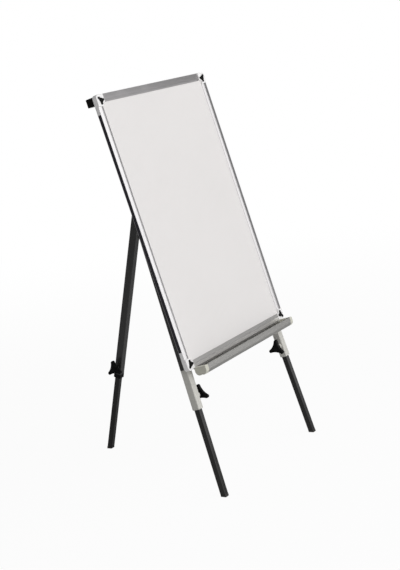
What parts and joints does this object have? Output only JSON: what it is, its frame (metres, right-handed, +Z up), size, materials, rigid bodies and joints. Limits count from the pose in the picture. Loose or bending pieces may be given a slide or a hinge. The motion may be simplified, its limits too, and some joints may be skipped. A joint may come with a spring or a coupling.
{
  "type": "whiteboard easel",
  "caption": "Whiteboard easel: framed portrait board with a pen tray on telescopic square-tube legs and a folding rear leg.",
  "frame": {"origin": "on the floor, under the middle of the easel's bounding box", "axes": "+Z up, +X to the viewer's right, the board faces -Y and the rear leg stands towards +Y"},
  "size_m": [0.7, 0.7622, 1.4294],
  "materials": {
    "white_enamel": "semi-gloss dry-wipe enamel on steel sheet",
    "fibreboard": "raw fibreboard",
    "galvanised_sheet": "galvanised sheet",
    "rail_aluminium": "satin anodised extrusion",
    "dark_trim": "matt dark strip",
    "white_plastic": "moulded, fine grain",
    "black_plastic": "moulded, fine grain",
    "tray_aluminium": "satin anodised extrusion",
    "cream_plastic": "moulded, fine grain",
    "zinc_screw": "zinc plated",
    "black_paint": "satin black powder coat",
    "light_grey_plastic": "moulded, fine grain",
    "brass_insert": "turned",
    "screw_steel": "plain steel",
    "black_rubber": "moulded rubber"
  },
  "bodies": {
    "stand": {"writing_surface": "white_enamel", "panel_core": "fibreboard", "panel_backing": "galvanised_sheet", "top_rail": "rail_aluminium", "bottom_rail": "rail_aluminium", "left_rail": "rail_aluminium", "right_rail": "rail_aluminium", "left_edge_trim": "dark_trim", "right_edge_trim": "dark_trim", "corner_cap_bottom_left": "white_plastic", "corner_cap_bottom_right": "white_plastic", "corner_cap_top_left": "white_plastic", "corner_cap_top_right": "white_plastic", "corner_insert_bottom_left": "black_plastic", "corner_insert_bottom_right": "black_plastic", "corner_insert_top_left": "black_plastic", "corner_insert_top_right": "black_plastic", "pen_tray": "tray_aluminium", "tray_end_left": "cream_plastic", "tray_end_right": "cream_plastic", "tray_screws": "zinc_screw", "top_crossbar": "black_paint", "crossbar_plug_left": "black_plastic", "crossbar_plug_right": "black_plastic", "crossbar_bolts": "zinc_screw", "cross_brace": "black_paint", "hinge_bracket": "black_paint", "hinge_bolt": "zinc_screw", "hinge_nut": "zinc_screw", "bracket_screws": "zinc_screw", "left_leg": "black_paint", "right_leg": "black_paint", "left_board_bracket": "black_paint", "right_board_bracket": "black_paint", "left_clamp_fitting": "light_grey_plastic", "right_clamp_fitting": "light_grey_plastic", "left_insert_nut": "brass_insert", "right_insert_nut": "brass_insert"},
    "rear_upper": {"rear_leg": "black_paint", "rear_hinge_block": "black_plastic", "rear_collar": "black_plastic", "rear_weld_nut": "black_paint"},
    "left_slider": {"left_lower_leg": "black_paint", "left_guide": "black_plastic", "left_foot": "black_rubber"},
    "right_slider": {"right_lower_leg": "black_paint", "right_guide": "black_plastic", "right_foot": "black_rubber"},
    "rear_slider": {"rear_lower_leg": "black_paint", "rear_guide": "black_plastic", "rear_foot": "black_rubber"},
    "left_clamp": {"left_knob": "black_plastic", "left_clamp_screw": "screw_steel"},
    "right_clamp": {"right_knob": "black_plastic", "right_clamp_screw": "screw_steel"},
    "rear_clamp": {"rear_knob": "black_plastic", "rear_clamp_screw": "screw_steel"}
  },
  "joints": [
    {"name": "rear_leg_fold", "type": "hinge", "parent": "stand", "child": "rear_upper", "pos_m": [0, -0.04897, 1.36902], "axis": [-1, 0, 0], "range_deg": [0, 25.8]},
    {"name": "left_leg_slide", "type": "slide", "parent": "stand", "child": "left_slider", "axis": [-0.0436, -0.229, -0.9725], "range_m": [-0.27, 0.25]},
    {"name": "left_clamp_turn", "type": "hinge", "parent": "stand", "child": "left_clamp", "pos_m": [-0.32076, -0.28608, 0.35548], "axis": [0.999, -0.01, -0.0425], "range_deg": [0, 540]},
    {"name": "right_leg_slide", "type": "slide", "parent": "stand", "child": "right_slider", "axis": [0.0436, -0.229, -0.9725], "range_m": [-0.27, 0.25]},
    {"name": "right_clamp_turn", "type": "hinge", "parent": "stand", "child": "right_clamp", "pos_m": [0.32076, -0.28608, 0.35548], "axis": [-0.999, -0.01, -0.0425], "range_deg": [0, 540]},
    {"name": "rear_leg_slide", "type": "slide", "parent": "rear_upper", "child": "rear_slider", "axis": [0, 0.2924, -0.9563], "range_m": [-0.27, 0.25]},
    {"name": "rear_clamp_turn", "type": "hinge", "parent": "rear_upper", "child": "rear_clamp", "pos_m": [0, 0.26416, 0.34482], "axis": [-1, 0, 0], "range_deg": [0, 540]}
  ]
}
